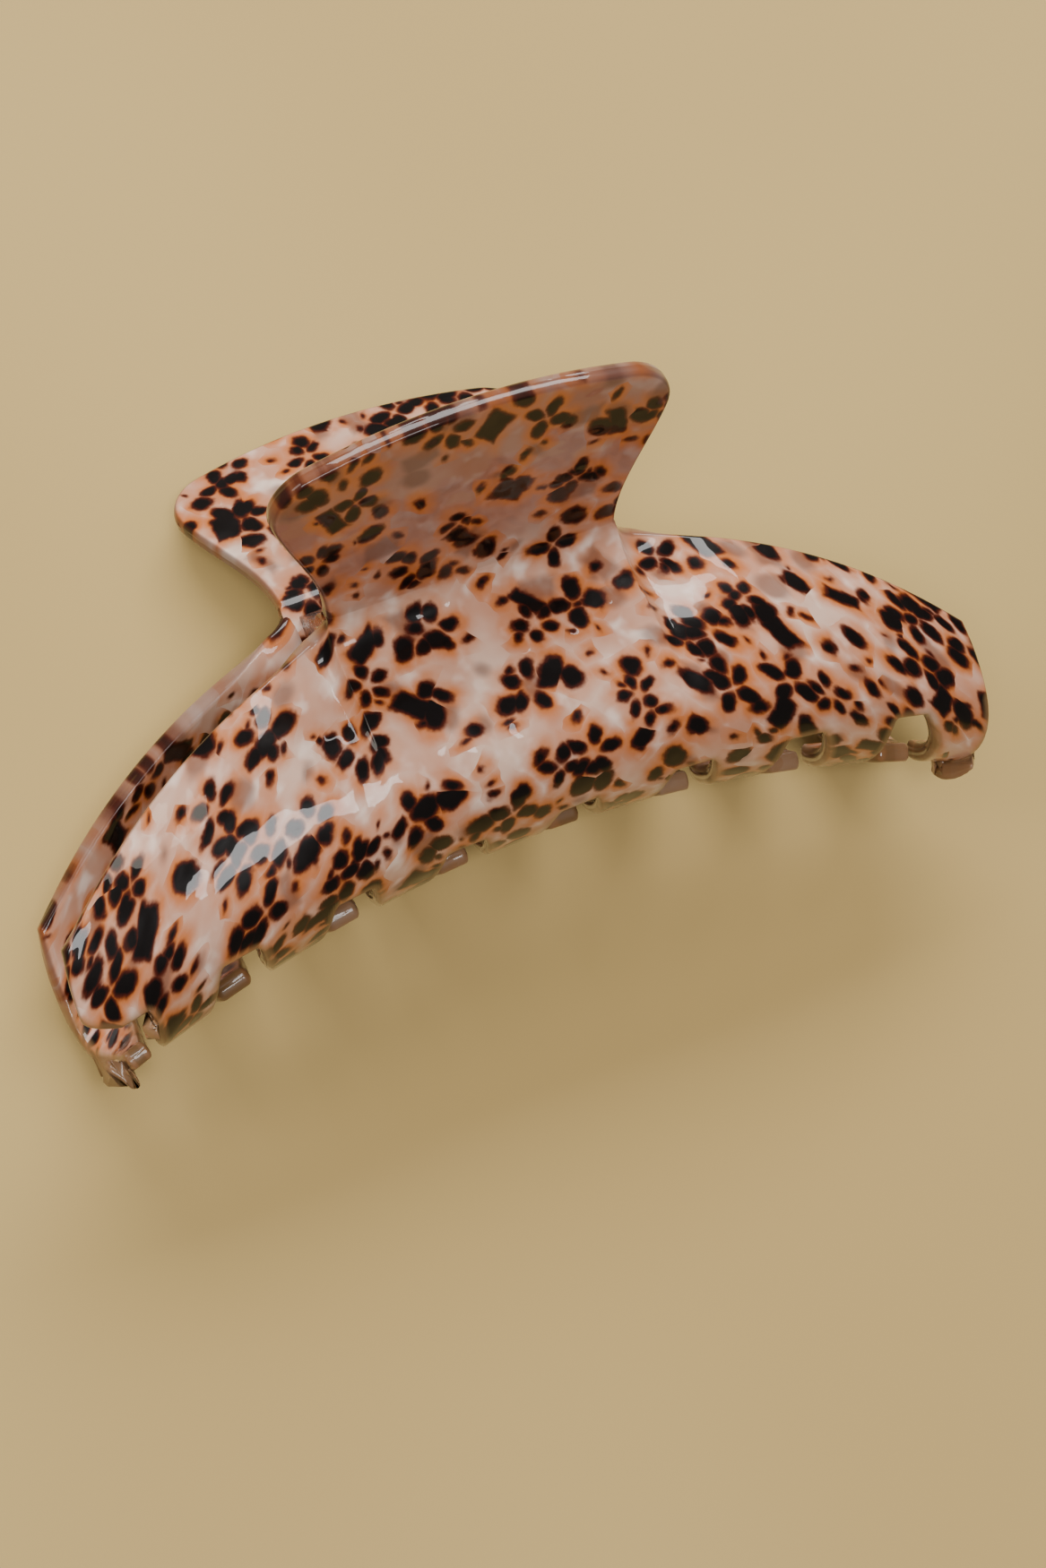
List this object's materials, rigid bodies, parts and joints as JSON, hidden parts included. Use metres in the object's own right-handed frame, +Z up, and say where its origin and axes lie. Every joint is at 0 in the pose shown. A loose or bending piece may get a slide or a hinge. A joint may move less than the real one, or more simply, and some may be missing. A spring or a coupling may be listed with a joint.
{
  "type": "claw hair clip",
  "caption": "Crescent claw hair clip: formed acetate jaws with interleaving teeth and flared handles, hinged on a steel pin and sprung shut.",
  "frame": {"origin": "middle of the footprint on the table that the closed clip lies on, back jaw down", "axes": "+X along the hinge pin, +Y towards the handles' side, +Z up from the table; the plane between the jaws leans up about 18.5 degrees towards the handles"},
  "size_m": [0.126, 0.0784, 0.0665],
  "materials": {
    "jaw_acetate": "polished pearly blush acetate with dark brown spots and a clear rim",
    "knuckle_acetate": "moulded, bonded to the jaw",
    "pin_steel": "drawn wire, ends headed",
    "spring_steel": "bright drawn spring wire"
  },
  "bodies": {
    "back_half": {"back_jaw": "jaw_acetate", "back_left_knuckle": "knuckle_acetate", "back_right_knuckle": "knuckle_acetate", "hinge_pin": "pin_steel", "torsion_spring": "spring_steel"},
    "front_half": {"front_jaw": "jaw_acetate", "front_left_knuckle": "knuckle_acetate", "front_right_knuckle": "knuckle_acetate"}
  },
  "joints": [
    {"name": "jaw_hinge", "type": "hinge", "parent": "back_half", "child": "front_half", "pos_m": [0, 0.0052, 0.02601], "axis": [-1, 0, 0], "range_deg": [0, 95], "stiffness_Nm_per_rad": 0.19, "springref_deg": -30.37, "deforming": ["torsion_spring"]}
  ]
}
